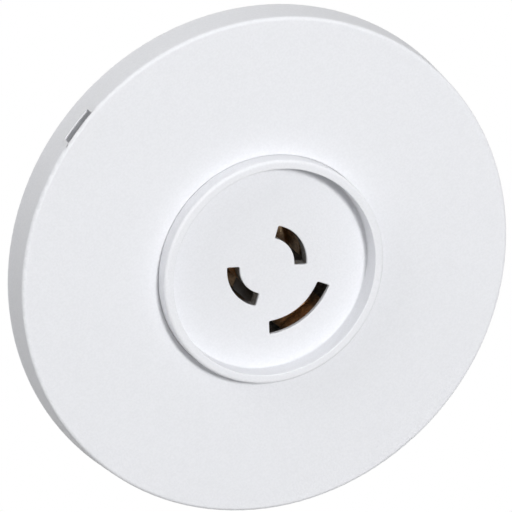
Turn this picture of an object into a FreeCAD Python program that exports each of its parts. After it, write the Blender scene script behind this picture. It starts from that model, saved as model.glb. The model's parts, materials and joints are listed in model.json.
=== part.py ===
import FreeCAD, Part
import math
import os

# Electrical ceiling rose for a lamp plug with three curved blades.
# Millimetres. z = 0 is the ceiling, +Z goes up into the ceiling box and the face looks down.
# The earth slot lies on -Y, the two live slots on +X and -X.

# Cover disc
COVER_FACE_RADIUS = 49.95
COVER_BACK_RADIUS = 50.6
COVER_RIM_HEIGHT = 7.1
COVER_CEILING_GAP = 0.3
COVER_FACE_WALL = 1.5
COVER_RIM_WALL = 1.6
COVER_EDGE_ROUND = 0.7
COVER_INNER_ROUND = 0.6
COVER_HOLE_GAP = 0.06
COVER_HOLE_ROUND = 0.05
RIM_SLOT_LENGTH = 7.1
RIM_SLOT_HEIGHT = 2.0
RIM_SLOT_LIP = 0.45
RIM_SLOT_POCKET = 2.5
RIM_SLOT_SKIN = 0.3
RIM_RELIEF_HEIGHT = 3.5
RIM_RELIEF_MARGIN = 1.0
RIM_SLOT_ANGLE = 74.9

# Pegs that hold the cover on the base plate
PEG_RADIUS = 1.6
PEG_CLEARANCE = 0.05
PEG_LEAD = 0.4
PEG_SHORTFALL = 0.5
PEG_BOSS_WALL = 1.5
PEG_ANGLES = (45, 135, 225, 315)

# Socket front: collar, recess floor, barrel and flange
COLLAR_RADIUS = 22.6
COLLAR_WALL = 1.8
COLLAR_PROUD = 3.5
COLLAR_OUTER_ROUND = 0.6
COLLAR_INNER_ROUND = 0.2
FLOOR_SET_BACK = 0.8
FLOOR_THICKNESS = 3.0
FLOOR_ROUND = 0.3
BARREL_WALL = 2.0
FLANGE_WIDTH = 2.9
FLANGE_THICKNESS = 2.0
EAR_OFFSET = 2.0
EAR_RADIUS = 4.0
EAR_ANGLES = (45, 135, 225, 315)

# Slots in the recess floor
LIVE_SLOT_RADIUS = 6.95
LIVE_SLOT_WIDTH = 2.6
LIVE_SLOT_SPAN = 78.0
EARTH_SLOT_RADIUS = 12.7
EARTH_SLOT_WIDTH = 2.7
EARTH_SLOT_SPAN = 65.0
SLOT_CORNER_ROUND = 0.3
SLOT_EDGE_ROUND = 0.15
LIVE_FLOOR_THICKNESS = 0.6
EARTH_FLOOR_THICKNESS = 0.9
EARTH_POCKET_CLEARANCE = 0.4
EARTH_POCKET_WIDTH = 16.4

# Base plate
PLATE_THICKNESS = 2.0
PLATE_RECESS = 0.5
PLATE_RIM_GAP = 0.4
PLATE_UPSTAND_WALL = 1.6
PLATE_EDGE_ROUND = 0.3
PLATE_BARREL_GAP = 0.15
BOSS_RING_GAP = 0.4
BOSS_COVER_GAP = 0.4
SEAT_RING_GAP = 0.9
FIXING_SPACING = 60.0
FIXING_SLOT_LENGTH = 8.0
FIXING_SLOT_WIDTH = 4.4
EJECTOR_RADIUS = 2.2
EJECTOR_DEPTH = 0.15
EJECTOR_RING_RADIUS = 32.0
EJECTOR_COUNT = 8

# Contact housing
CHAMBER_HEIGHT = 4.1
PARTITION = 1.8
BAY_DEPTH = 6.0
BAY_WALL = 1.2
BAY_CLEARANCE = 0.4
BAY_INNER_GAP = 0.8
WIRE_NOTCH_WIDTH = 5.0
WIRE_NOTCH_SILL = 1.6
POCKET_WALL = 1.5
LIVE_POCKET_SPAN = 84.0
NOSE_SPAN = 90.0
NOSE_GAP = 0.1
NOSE_SLOT_GAP = 0.05
EARTH_WALL_WIDTH = 15.6
POCKET_REACH = 8.6
HUB_GAP = 0.3
HOUSING_EDGE_ROUND = 0.4

# Contacts, bent from bronze strip, and the steel leaves behind them
STRIP = 0.6
LEAF_SET_BACK = 0.15
LEAF_END_GAP = 0.2
LIVE_LEAF_SPAN = 72.0
EARTH_LEAF_WIDTH = 9.8
EARTH_GRIP_INSET = 0.85
EARTH_GRIP_HEIGHT = 2.3
EARTH_INNER_OFFSET = 1.5
TAIL_WIDTH = 5.0
TAIL_SLOT_GAP = 0.1
SPRING_STRIP = 0.4
SPRING_GAP = 0.05
SPRING_HEIGHT = 5.5
SPRING_TOP_GAP = 1.2
LIVE_SPRING_SPAN = 40.0
EARTH_SPRING_WIDTH = 6.0

# Terminals: brass block, steel clamp plate and screw
BLOCK_LENGTH = 7.5
BLOCK_WIDTH = 7.0
BLOCK_HEIGHT = 3.5
BLOCK_EDGE = 0.3
BLOCK_SET_BACK = 0.75
TERMINAL_SCREW_RADIUS = 1.7
TERMINAL_HEAD_RADIUS = 2.9
TERMINAL_HEAD_HEIGHT = 2.2
THREAD_CLEARANCE = 0.05
TIP_GAP = 0.3
CLAMP_GAP = 0.3
CLAMP_THICKNESS = 1.0
CLAMP_LENGTH = 6.6
CLAMP_LIP = 2.6
CLAMP_LIP_WALL = 0.8
CLAMP_SIDE_GAP = 0.25
CLAMP_HOLE_GAP = 0.2
HEAD_SEAT_GAP = 0.05
DRIVE_SLOT_WIDTH = 0.8
DRIVE_SLOT_DEPTH = 1.1
DRIVE_CROSS_RIM = 1.1
HEAD_EDGE = 0.35
SCREW_LEAD = 0.7

# Housing screws and insert screws
HOUSING_SCREW_RADIUS = 1.3
HOUSING_HEAD_RADIUS = 2.6
HOUSING_HEAD_HEIGHT = 1.7
HOUSING_SCREW_GRIP = 3.0
HOUSING_SCREW_ANGLES = (90, 218, 322)
HOUSING_BOSS_RADIUS = 2.8
HOUSING_BOSS_GAP = 1.0
INSERT_SCREW_RADIUS = 1.4
INSERT_HEAD_RADIUS = 2.5
INSERT_HEAD_HEIGHT = 1.8
INSERT_SCREW_GRIP = 3.4
INSERT_BOSS_RADIUS = 3.0
PASS_GAP = 0.2

# Terminals by name, with the angle of each one's slot
POLES = {"line": 0, "neutral": 180, "earth": 270}

# Heights
cover_back_z = -COVER_CEILING_GAP
face_z = cover_back_z - COVER_RIM_HEIGHT
cover_inner_z = face_z + COVER_FACE_WALL
rim_slot_z = face_z + RIM_SLOT_LIP
rim_slot_back_z = rim_slot_z + RIM_SLOT_HEIGHT
collar_tip_z = face_z - COLLAR_PROUD
floor_z = face_z + FLOOR_SET_BACK
floor_back_z = floor_z + FLOOR_THICKNESS
live_pocket_z = floor_z + LIVE_FLOOR_THICKNESS
nose_z = live_pocket_z + NOSE_GAP
earth_pocket_z = floor_z + EARTH_FLOOR_THICKNESS
plate_seat_z = -PLATE_RECESS
plate_front_z = plate_seat_z - PLATE_THICKNESS
boss_tip_z = cover_inner_z + BOSS_COVER_GAP
flange_top_z = plate_seat_z + FLANGE_THICKNESS
partition_z = flange_top_z + CHAMBER_HEIGHT
partition_top_z = partition_z + PARTITION
bay_top_z = partition_top_z + BAY_DEPTH
block_z = partition_top_z + STRIP
block_top_z = block_z + BLOCK_HEIGHT
clamp_z = block_top_z + CLAMP_GAP
clamp_top_z = clamp_z + CLAMP_THICKNESS
head_z = clamp_top_z + HEAD_SEAT_GAP

# Radii, from the axis outwards. The rim may lean either way, so what it holds clears its narrower end.
rim_inner_radius = min(COVER_FACE_RADIUS, COVER_BACK_RADIUS) - COVER_RIM_WALL
rim_reach = max(COVER_FACE_RADIUS, COVER_BACK_RADIUS)
recess_radius = COLLAR_RADIUS - COLLAR_WALL
chamber_radius = COLLAR_RADIUS - BARREL_WALL
flange_radius = COLLAR_RADIUS + FLANGE_WIDTH
plate_hole_radius = COLLAR_RADIUS + PLATE_BARREL_GAP
insert_ring = flange_radius + EAR_OFFSET
peg_boss_radius = PEG_RADIUS + PEG_CLEARANCE + PEG_BOSS_WALL
peg_ring = insert_ring + INSERT_BOSS_RADIUS + BOSS_RING_GAP + peg_boss_radius
seat_ring_radius = peg_ring + peg_boss_radius + SEAT_RING_GAP
plate_radius = rim_inner_radius - PLATE_RIM_GAP
housing_screw_ring = chamber_radius - HOUSING_BOSS_RADIUS - HOUSING_BOSS_GAP
live_leaf_radius = LIVE_SLOT_RADIUS + LIVE_SLOT_WIDTH / 2 + LEAF_SET_BACK
live_inner_leaf_radius = LIVE_SLOT_RADIUS - LIVE_SLOT_WIDTH / 2 - LEAF_SET_BACK
live_spring_radius = live_leaf_radius + STRIP + SPRING_GAP
live_pocket_radius = live_spring_radius + SPRING_STRIP + SPRING_GAP
nose_radius = live_pocket_radius + POCKET_WALL
hub_radius = live_inner_leaf_radius - STRIP - HUB_GAP
earth_leaf_x = EARTH_SLOT_RADIUS + EARTH_SLOT_WIDTH / 2 + LEAF_SET_BACK
earth_inner_x = EARTH_SLOT_RADIUS - EARTH_SLOT_WIDTH / 2 - EARTH_INNER_OFFSET
earth_spring_x = earth_leaf_x + STRIP + SPRING_GAP
earth_pocket_x = earth_spring_x + SPRING_STRIP + SPRING_GAP
block_x = live_leaf_radius + STRIP + BLOCK_SET_BACK
screw_x = block_x + BLOCK_LENGTH / 2
clamp_half_width = BLOCK_WIDTH / 2 + CLAMP_SIDE_GAP + CLAMP_LIP_WALL
bay_half_width = clamp_half_width + BAY_CLEARANCE
bay_inner_x = live_leaf_radius - BAY_INNER_GAP - BAY_WALL

AXIS = FreeCAD.Vector(0, 0, 1)
ORIGIN = FreeCAD.Vector(0, 0, 0)
OVERCUT = 1.0
FLAT = 1e-4


def polar(radius, angle):
    turn = math.radians(angle)
    return radius * math.cos(turn), radius * math.sin(turn)


def cylinder(radius, z0, z1, x=0.0, y=0.0):
    return Part.makeCylinder(radius, z1 - z0, FreeCAD.Vector(x, y, z0), AXIS)


def block(x0, x1, half_width, z0, z1):
    return Part.makeBox(x1 - x0, 2 * half_width, z1 - z0, FreeCAD.Vector(x0, -half_width, z0))


def turned(shape, angle):
    copy = shape.copy()
    copy.rotate(ORIGIN, AXIS, angle)
    return copy


def sector(r_in, r_out, span, z0, z1):
    """Part of a ring, as wide as the span, centred on +X."""
    half = span / 2
    corners = [polar(r, a) for r, a in ((r_in, -half), (r_out, -half), (r_out, half), (r_in, half))]
    low = [FreeCAD.Vector(x, y, z0) for x, y in corners]
    edges = [
        Part.makeLine(low[0], low[1]),
        Part.Arc(low[1], FreeCAD.Vector(r_out, 0, z0), low[2]).toShape(),
        Part.makeLine(low[2], low[3]),
        Part.Arc(low[3], FreeCAD.Vector(r_in, 0, z0), low[0]).toShape(),
    ]
    return Part.Face(Part.Wire(edges)).extrude(FreeCAD.Vector(0, 0, z1 - z0))


def folded(points, width):
    """A closed outline in x and z, pushed out to both sides of the XZ plane."""
    corners = [FreeCAD.Vector(x, -width / 2, z) for x, z in points]
    face = Part.Face(Part.makePolygon(corners + corners[:1]))
    return face.extrude(FreeCAD.Vector(0, width, 0))


def revolved(corners):
    """Turns an outline about Z. Each corner is a radius, a height and the rounding of that corner."""
    points = [FreeCAD.Vector(r, 0, z) for r, z, _ in corners]
    starts, ends, arcs = [], [], []
    for i, (_, _, rounding) in enumerate(corners):
        here = points[i]
        back = (points[i - 1] - here).normalize()
        ahead = (points[(i + 1) % len(points)] - here).normalize()
        half = back.getAngle(ahead) / 2
        reach = rounding / math.tan(half)
        starts.append(here + back * reach)
        ends.append(here + ahead * reach)
        if rounding:
            inward = (back + ahead).normalize()
            middle = here + inward * (rounding / math.sin(half) - rounding)
            arcs.append(Part.Arc(starts[-1], middle, ends[-1]).toShape())
        else:
            arcs.append(None)
    edges = []
    for i in range(len(corners)):
        if arcs[i]:
            edges.append(arcs[i])
        edges.append(Part.makeLine(ends[i], starts[(i + 1) % len(corners)]))
    return Part.Face(Part.Wire(edges)).revolve(ORIGIN, AXIS, 360)


def rounded_upright(shape, radius):
    """Rounds the upright edges of a prism."""
    upright = [e for e in shape.Edges if e.BoundBox.XLength < FLAT and e.BoundBox.YLength < FLAT]
    return shape.makeFillet(radius, upright)


def edges_at(shape, z, reach):
    """Edges that lie flat at height z, within reach of the axis."""
    flat = [e for e in shape.Edges if e.BoundBox.ZLength < FLAT and abs(e.BoundBox.ZMin - z) < FLAT]
    return [e for e in flat if max(math.hypot(v.X, v.Y) for v in e.Vertexes) < reach]


def drive_recess(top_z, radius):
    """Slot and cross for the screwdriver, cut into a head."""
    low_z = top_z - DRIVE_SLOT_DEPTH
    half_width = DRIVE_SLOT_WIDTH / 2
    reach = radius + OVERCUT
    long_slot = block(-reach, reach, half_width, low_z, top_z + OVERCUT)
    cross_reach = radius - DRIVE_CROSS_RIM
    cross = block(-cross_reach, cross_reach, half_width, low_z, top_z + OVERCUT)
    return long_slot.fuse(turned(cross, 90))


def screw(head_radius, head_height, shank_radius, seat_z, tip_z):
    """Screw on the Z axis, head up, with a chamfered tip."""
    top_z = seat_z + head_height
    body = revolved([
        (0, tip_z, 0),
        (shank_radius - SCREW_LEAD, tip_z, 0),
        (shank_radius, tip_z + SCREW_LEAD, 0),
        (shank_radius, seat_z, 0),
        (head_radius, seat_z, 0),
        (head_radius, top_z, HEAD_EDGE),
        (0, top_z, 0),
    ])
    return body.cut(drive_recess(top_z, head_radius))


def rim_relief():
    """Hollow behind the slot, which leaves only a skin of the rim round it."""
    draft = (COVER_BACK_RADIUS - COVER_FACE_RADIUS) / COVER_RIM_HEIGHT
    outer = COVER_FACE_RADIUS + draft * (rim_slot_back_z - face_z) - RIM_SLOT_SKIN
    span = 2 * math.degrees(math.asin((RIM_SLOT_LENGTH / 2 + RIM_RELIEF_MARGIN) / outer))
    return sector(
        rim_inner_radius - RIM_SLOT_POCKET, outer, span, rim_slot_z, rim_slot_back_z + RIM_RELIEF_HEIGHT)


def cover_disc():
    hole_radius = COLLAR_RADIUS + COVER_HOLE_GAP
    shell = revolved([
        (hole_radius, face_z, COVER_HOLE_ROUND),
        (COVER_FACE_RADIUS, face_z, COVER_EDGE_ROUND),
        (COVER_BACK_RADIUS, cover_back_z, 0),
        (COVER_BACK_RADIUS - COVER_RIM_WALL, cover_back_z, 0),
        (COVER_FACE_RADIUS - COVER_RIM_WALL, cover_inner_z, COVER_INNER_ROUND),
        (hole_radius, cover_inner_z, 0),
    ])
    slot = block(
        rim_inner_radius - RIM_SLOT_POCKET,
        rim_reach + OVERCUT,
        RIM_SLOT_LENGTH / 2,
        rim_slot_z,
        rim_slot_back_z,
    )
    shell = shell.cut(turned(slot, RIM_SLOT_ANGLE)).cut(turned(rim_relief(), RIM_SLOT_ANGLE))
    tip_z = plate_seat_z - PEG_SHORTFALL
    peg = revolved([
        (0, cover_inner_z - COVER_FACE_WALL / 2, 0),
        (PEG_RADIUS, cover_inner_z - COVER_FACE_WALL / 2, 0),
        (PEG_RADIUS, tip_z - PEG_LEAD, 0),
        (PEG_RADIUS - PEG_LEAD, tip_z, 0),
        (0, tip_z, 0),
    ])
    for angle in PEG_ANGLES:
        x, y = polar(peg_ring, angle)
        shell = shell.fuse(peg.translated(FreeCAD.Vector(x, y, 0)))
    return shell.removeSplitter()


def base_plate():
    plate = revolved([
        (plate_hole_radius, plate_seat_z, 0),
        (seat_ring_radius, plate_seat_z, 0),
        (seat_ring_radius, 0, 0),
        (plate_radius, 0, PLATE_EDGE_ROUND),
        (plate_radius, rim_slot_back_z, PLATE_EDGE_ROUND),
        (plate_radius - PLATE_UPSTAND_WALL, rim_slot_back_z, PLATE_EDGE_ROUND),
        (plate_radius - PLATE_UPSTAND_WALL, plate_front_z, 0),
        (plate_hole_radius, plate_front_z, 0),
    ])
    root_z = plate_front_z + PLATE_THICKNESS / 2
    for angle in PEG_ANGLES:
        x, y = polar(peg_ring, angle)
        plate = plate.fuse(cylinder(peg_boss_radius, boss_tip_z, root_z, x, y))
    for angle in EAR_ANGLES:
        x, y = polar(insert_ring, angle)
        plate = plate.fuse(cylinder(INSERT_BOSS_RADIUS, boss_tip_z, root_z, x, y))
    for angle in PEG_ANGLES:
        x, y = polar(peg_ring, angle)
        plate = plate.cut(cylinder(PEG_RADIUS + PEG_CLEARANCE, boss_tip_z - OVERCUT, OVERCUT, x, y))
    for angle in EAR_ANGLES:
        x, y = polar(insert_ring, angle)
        pilot_radius = INSERT_SCREW_RADIUS + THREAD_CLEARANCE
        pilot_z = plate_seat_z - INSERT_SCREW_GRIP - TIP_GAP
        plate = plate.cut(cylinder(pilot_radius, pilot_z, OVERCUT, x, y))
    for side in (-1, 1):
        half_run = (FIXING_SLOT_LENGTH - FIXING_SLOT_WIDTH) / 2
        middle = side * FIXING_SPACING / 2
        ends = (middle - half_run, middle + half_run)
        low_z = plate_front_z - OVERCUT
        slot = block(ends[0], ends[1], FIXING_SLOT_WIDTH / 2, low_z, OVERCUT)
        for end in ends:
            slot = slot.fuse(cylinder(FIXING_SLOT_WIDTH / 2, low_z, OVERCUT, end))
        plate = plate.cut(slot.removeSplitter())
    for i in range(EJECTOR_COUNT):
        x, y = polar(EJECTOR_RING_RADIUS, (i + 0.5) * 360 / EJECTOR_COUNT)
        plate = plate.cut(cylinder(EJECTOR_RADIUS, plate_seat_z - EJECTOR_DEPTH, OVERCUT, x, y))
    return plate.removeSplitter()


def slot_cutter(radius, width, span):
    shape = sector(radius - width / 2, radius + width / 2, span, floor_z - OVERCUT, floor_back_z + OVERCUT)
    return rounded_upright(shape, SLOT_CORNER_ROUND)


def nose_pocket():
    """Hollow in the back of the floor for the housing's noses and its hub."""
    high_z = floor_back_z + OVERCUT
    span = NOSE_SPAN + 2 * math.degrees(NOSE_GAP / hub_radius)
    pocket = cylinder(hub_radius + NOSE_GAP, live_pocket_z, high_z)
    for pole in ("line", "neutral"):
        wing = sector(hub_radius / 2, nose_radius + NOSE_GAP, span, live_pocket_z, high_z)
        pocket = pocket.fuse(turned(wing, POLES[pole]))
    return pocket.removeSplitter()


def live_nose():
    """Guide for a live blade, between the floor and the contact."""
    nose = sector(hub_radius / 2, nose_radius, NOSE_SPAN, nose_z, floor_back_z)
    width = LIVE_SLOT_WIDTH + 2 * NOSE_SLOT_GAP
    span = LIVE_SLOT_SPAN + 2 * math.degrees(NOSE_SLOT_GAP / LIVE_SLOT_RADIUS)
    return nose.cut(slot_cutter(LIVE_SLOT_RADIUS, width, span))


def socket_front():
    body = revolved([
        (0, floor_z, 0),
        (recess_radius, floor_z, FLOOR_ROUND),
        (recess_radius, collar_tip_z, COLLAR_INNER_ROUND),
        (COLLAR_RADIUS, collar_tip_z, COLLAR_OUTER_ROUND),
        (COLLAR_RADIUS, plate_seat_z, 0),
        (flange_radius, plate_seat_z, 0),
        (flange_radius, flange_top_z, 0),
        (chamber_radius, flange_top_z, 0),
        (chamber_radius, floor_back_z, 0),
        (0, floor_back_z, 0),
    ])
    slots = [
        turned(slot_cutter(LIVE_SLOT_RADIUS, LIVE_SLOT_WIDTH, LIVE_SLOT_SPAN), POLES["line"]),
        turned(slot_cutter(LIVE_SLOT_RADIUS, LIVE_SLOT_WIDTH, LIVE_SLOT_SPAN), POLES["neutral"]),
        turned(slot_cutter(EARTH_SLOT_RADIUS, EARTH_SLOT_WIDTH, EARTH_SLOT_SPAN), POLES["earth"]),
    ]
    for slot in slots:
        body = body.cut(slot)
    flat_radius = recess_radius - FLOOR_ROUND
    body = body.makeFillet(SLOT_EDGE_ROUND, edges_at(body, floor_z, flat_radius - SLOT_EDGE_ROUND))
    pocket = block(
        earth_inner_x - STRIP - EARTH_POCKET_CLEARANCE,
        earth_leaf_x + STRIP + EARTH_POCKET_CLEARANCE,
        EARTH_POCKET_WIDTH / 2,
        earth_pocket_z,
        floor_back_z + OVERCUT,
    )
    body = body.cut(turned(pocket, POLES["earth"])).cut(nose_pocket())
    for angle in EAR_ANGLES:
        ear = cylinder(EAR_RADIUS, plate_seat_z, flange_top_z, insert_ring)
        ear = ear.fuse(block(COLLAR_RADIUS, insert_ring, EAR_RADIUS, plate_seat_z, flange_top_z))
        body = body.fuse(turned(ear, angle))
    root_z = floor_back_z - FLOOR_THICKNESS / 2
    for angle in HOUSING_SCREW_ANGLES:
        x, y = polar(housing_screw_ring, angle)
        body = body.fuse(cylinder(HOUSING_BOSS_RADIUS, root_z, flange_top_z, x, y))
    for angle in EAR_ANGLES:
        x, y = polar(insert_ring, angle)
        pass_radius = INSERT_SCREW_RADIUS + PASS_GAP
        body = body.cut(cylinder(pass_radius, plate_seat_z - OVERCUT, flange_top_z + OVERCUT, x, y))
    for angle in HOUSING_SCREW_ANGLES:
        x, y = polar(housing_screw_ring, angle)
        pilot_radius = HOUSING_SCREW_RADIUS + THREAD_CLEARANCE
        pilot_z = flange_top_z - HOUSING_SCREW_GRIP - TIP_GAP
        body = body.cut(cylinder(pilot_radius, pilot_z, flange_top_z + OVERCUT, x, y))
    return body.removeSplitter()


def terminal_bay():
    """Three walls round one terminal, open towards the rim."""
    reach = chamber_radius + BARREL_WALL / 2
    outer = block(bay_inner_x, reach, bay_half_width + BAY_WALL, partition_top_z - PARTITION / 2, bay_top_z)
    inner_x = bay_inner_x + BAY_WALL
    inner = block(inner_x, reach + OVERCUT, bay_half_width, partition_top_z, bay_top_z + OVERCUT)
    return outer.cut(inner)


def wire_notch():
    sill_z = partition_top_z + WIRE_NOTCH_SILL
    reach = COLLAR_RADIUS + OVERCUT
    return block(chamber_radius - OVERCUT, reach, WIRE_NOTCH_WIDTH / 2, sill_z, bay_top_z + OVERCUT)


def contact_housing():
    body = revolved([
        (0, partition_z, 0),
        (chamber_radius, partition_z, 0),
        (chamber_radius, flange_top_z, 0),
        (COLLAR_RADIUS, flange_top_z, 0),
        (COLLAR_RADIUS, bay_top_z, HOUSING_EDGE_ROUND),
        (chamber_radius, bay_top_z, HOUSING_EDGE_ROUND),
        (chamber_radius, partition_top_z, 0),
        (0, partition_top_z, 0),
    ])
    root_z = partition_z + PARTITION / 2
    body = body.fuse(cylinder(hub_radius, nose_z, root_z))
    pocket_low_z = partition_z - POCKET_REACH
    live_wall = sector(live_pocket_radius, nose_radius, LIVE_POCKET_SPAN, nose_z, root_z)
    live_wall = live_wall.fuse(live_nose())
    earth_outer = earth_pocket_x + POCKET_WALL
    earth_wall = block(earth_pocket_x, earth_outer, EARTH_WALL_WIDTH / 2, pocket_low_z, root_z)
    for pole, angle in POLES.items():
        body = body.fuse(turned(earth_wall if pole == "earth" else live_wall, angle))
        body = body.fuse(turned(terminal_bay(), angle))
    for angle in HOUSING_SCREW_ANGLES:
        x, y = polar(housing_screw_ring, angle)
        body = body.fuse(cylinder(HOUSING_BOSS_RADIUS, flange_top_z, root_z, x, y))
    for pole, angle in POLES.items():
        tail_x = tail_position(pole)
        tail_slot = block(
            tail_x - TAIL_SLOT_GAP,
            tail_x + STRIP + TAIL_SLOT_GAP,
            TAIL_WIDTH / 2 + TAIL_SLOT_GAP,
            partition_z - OVERCUT,
            partition_top_z + OVERCUT,
        )
        body = body.cut(turned(tail_slot, angle))
        body = body.cut(turned(wire_notch(), angle))
    for angle in HOUSING_SCREW_ANGLES:
        x, y = polar(housing_screw_ring, angle)
        pass_radius = HOUSING_SCREW_RADIUS + PASS_GAP
        body = body.cut(cylinder(pass_radius, flange_top_z - OVERCUT, partition_top_z + OVERCUT, x, y))
    return body.removeSplitter()


def tail_position(pole):
    """Inner face of the strip that rises through the partition."""
    return earth_inner_x - STRIP if pole == "earth" else live_leaf_radius


def contact_tail(pole):
    """Strip that rises through the partition and turns outwards under the terminal block."""
    x0 = tail_position(pole)
    rise = block(x0, x0 + STRIP, TAIL_WIDTH / 2, partition_z - STRIP, block_z)
    foot = block(x0, block_x + BLOCK_LENGTH, TAIL_WIDTH / 2, partition_top_z, block_z)
    return rise.fuse(foot)


def live_contact(pole):
    low_z = floor_back_z + LEAF_END_GAP
    r_in = live_inner_leaf_radius - STRIP
    r_out = live_leaf_radius + STRIP
    outer = sector(live_leaf_radius, r_out, LIVE_LEAF_SPAN, low_z, partition_z)
    inner = sector(r_in, live_inner_leaf_radius, LIVE_LEAF_SPAN, low_z, partition_z)
    bridge = sector(r_in, r_out, LIVE_LEAF_SPAN, partition_z - STRIP, partition_z)
    shape = outer.fuse([inner, bridge, contact_tail(pole)]).removeSplitter()
    return turned(shape, POLES[pole])


def earth_contact():
    low_z = earth_pocket_z + LEAF_END_GAP
    grip_z = low_z + EARTH_GRIP_HEIGHT
    grip_x = earth_leaf_x - EARTH_GRIP_INSET
    outer = folded([
        (earth_leaf_x, partition_z),
        (grip_x, grip_z),
        (earth_leaf_x, low_z),
        (earth_leaf_x + STRIP, low_z),
        (grip_x + STRIP, grip_z),
        (earth_leaf_x + STRIP, partition_z),
    ], EARTH_LEAF_WIDTH)
    inner = block(earth_inner_x - STRIP, earth_inner_x, EARTH_LEAF_WIDTH / 2, low_z, partition_z)
    bridge = block(
        earth_inner_x - STRIP,
        earth_leaf_x + STRIP,
        EARTH_LEAF_WIDTH / 2,
        partition_z - STRIP,
        partition_z,
    )
    shape = outer.fuse([inner, bridge, contact_tail("earth")]).removeSplitter()
    return turned(shape, POLES["earth"])


def live_spring(pole):
    top_z = partition_z - SPRING_TOP_GAP
    leaf = sector(
        live_spring_radius,
        live_spring_radius + SPRING_STRIP,
        LIVE_SPRING_SPAN,
        top_z - SPRING_HEIGHT,
        top_z,
    )
    return turned(leaf, POLES[pole])


def earth_spring():
    """Flat leaf that leans with the outer leaf of the earth contact."""
    grip_z = earth_pocket_z + LEAF_END_GAP + EARTH_GRIP_HEIGHT
    lean = EARTH_GRIP_INSET / (partition_z - grip_z)
    top_z = partition_z - SPRING_TOP_GAP
    top_x = earth_spring_x - lean * SPRING_TOP_GAP
    low_z = top_z - SPRING_HEIGHT
    low_x = top_x - lean * SPRING_HEIGHT
    leaf = folded([
        (top_x, top_z),
        (low_x, low_z),
        (low_x + SPRING_STRIP, low_z),
        (top_x + SPRING_STRIP, top_z),
    ], EARTH_SPRING_WIDTH)
    return turned(leaf, POLES["earth"])


def terminal_block(pole):
    body = block(block_x, block_x + BLOCK_LENGTH, BLOCK_WIDTH / 2, block_z, block_top_z)
    body = rounded_upright(body, BLOCK_EDGE)
    hole_radius = TERMINAL_SCREW_RADIUS + THREAD_CLEARANCE
    body = body.cut(cylinder(hole_radius, block_z - OVERCUT, block_top_z + OVERCUT, screw_x))
    return turned(body, POLES[pole])


def clamp_plate(pole):
    """Saddle whose two lips straddle the block, so that it can't turn with its screw."""
    x0 = screw_x - CLAMP_LENGTH / 2
    x1 = screw_x + CLAMP_LENGTH / 2
    saddle = block(x0, x1, clamp_half_width, clamp_z - CLAMP_LIP, clamp_top_z)
    half_gap = clamp_half_width - CLAMP_LIP_WALL
    saddle = saddle.cut(block(x0 - OVERCUT, x1 + OVERCUT, half_gap, clamp_z - CLAMP_LIP - OVERCUT, clamp_z))
    hole_radius = TERMINAL_SCREW_RADIUS + CLAMP_HOLE_GAP
    saddle = saddle.cut(cylinder(hole_radius, clamp_z - OVERCUT, clamp_top_z + OVERCUT, screw_x))
    return turned(saddle, POLES[pole])


def terminal_screw(pole):
    tip_z = block_z + TIP_GAP
    body = screw(TERMINAL_HEAD_RADIUS, TERMINAL_HEAD_HEIGHT, TERMINAL_SCREW_RADIUS, head_z, tip_z)
    return turned(body.translated(FreeCAD.Vector(screw_x, 0, 0)), POLES[pole])


def screw_group(one, ring, angles):
    return Part.makeCompound([turned(one.translated(FreeCAD.Vector(ring, 0, 0)), a) for a in angles])


def housing_screws():
    tip_z = flange_top_z - HOUSING_SCREW_GRIP
    one = screw(HOUSING_HEAD_RADIUS, HOUSING_HEAD_HEIGHT, HOUSING_SCREW_RADIUS, partition_top_z, tip_z)
    return screw_group(one, housing_screw_ring, HOUSING_SCREW_ANGLES)


def insert_screws():
    tip_z = plate_seat_z - INSERT_SCREW_GRIP
    one = screw(INSERT_HEAD_RADIUS, INSERT_HEAD_HEIGHT, INSERT_SCREW_RADIUS, flange_top_z, tip_z)
    return screw_group(one, insert_ring, EAR_ANGLES)


def all_parts():
    parts = {
        "cover_disc": cover_disc(),
        "base_plate": base_plate(),
        "socket_front": socket_front(),
        "contact_housing": contact_housing(),
        "earth_contact": earth_contact(),
        "earth_spring": earth_spring(),
        "housing_screws": housing_screws(),
        "insert_screws": insert_screws(),
    }
    for pole in POLES:
        if pole != "earth":
            parts[pole + "_contact"] = live_contact(pole)
            parts[pole + "_spring"] = live_spring(pole)
        parts[pole + "_terminal_block"] = terminal_block(pole)
        parts[pole + "_clamp_plate"] = clamp_plate(pole)
        parts[pole + "_terminal_screw"] = terminal_screw(pole)
    return parts


os.makedirs("parts", exist_ok=True)
for name, shape in all_parts().items():
    state = "valid" if shape.isValid() else "INVALID"
    print(name, len(shape.Solids), "solids", round(shape.Volume, 2), "mm3", state)
    shape.exportStep("parts/" + name + ".step")
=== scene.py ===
import json
import math

import bmesh
import bpy
from bpy.props import FloatProperty, FloatVectorProperty, IntProperty, PointerProperty
from bpy.types import Operator, Panel, PropertyGroup
from mathutils import Matrix, Vector

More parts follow.
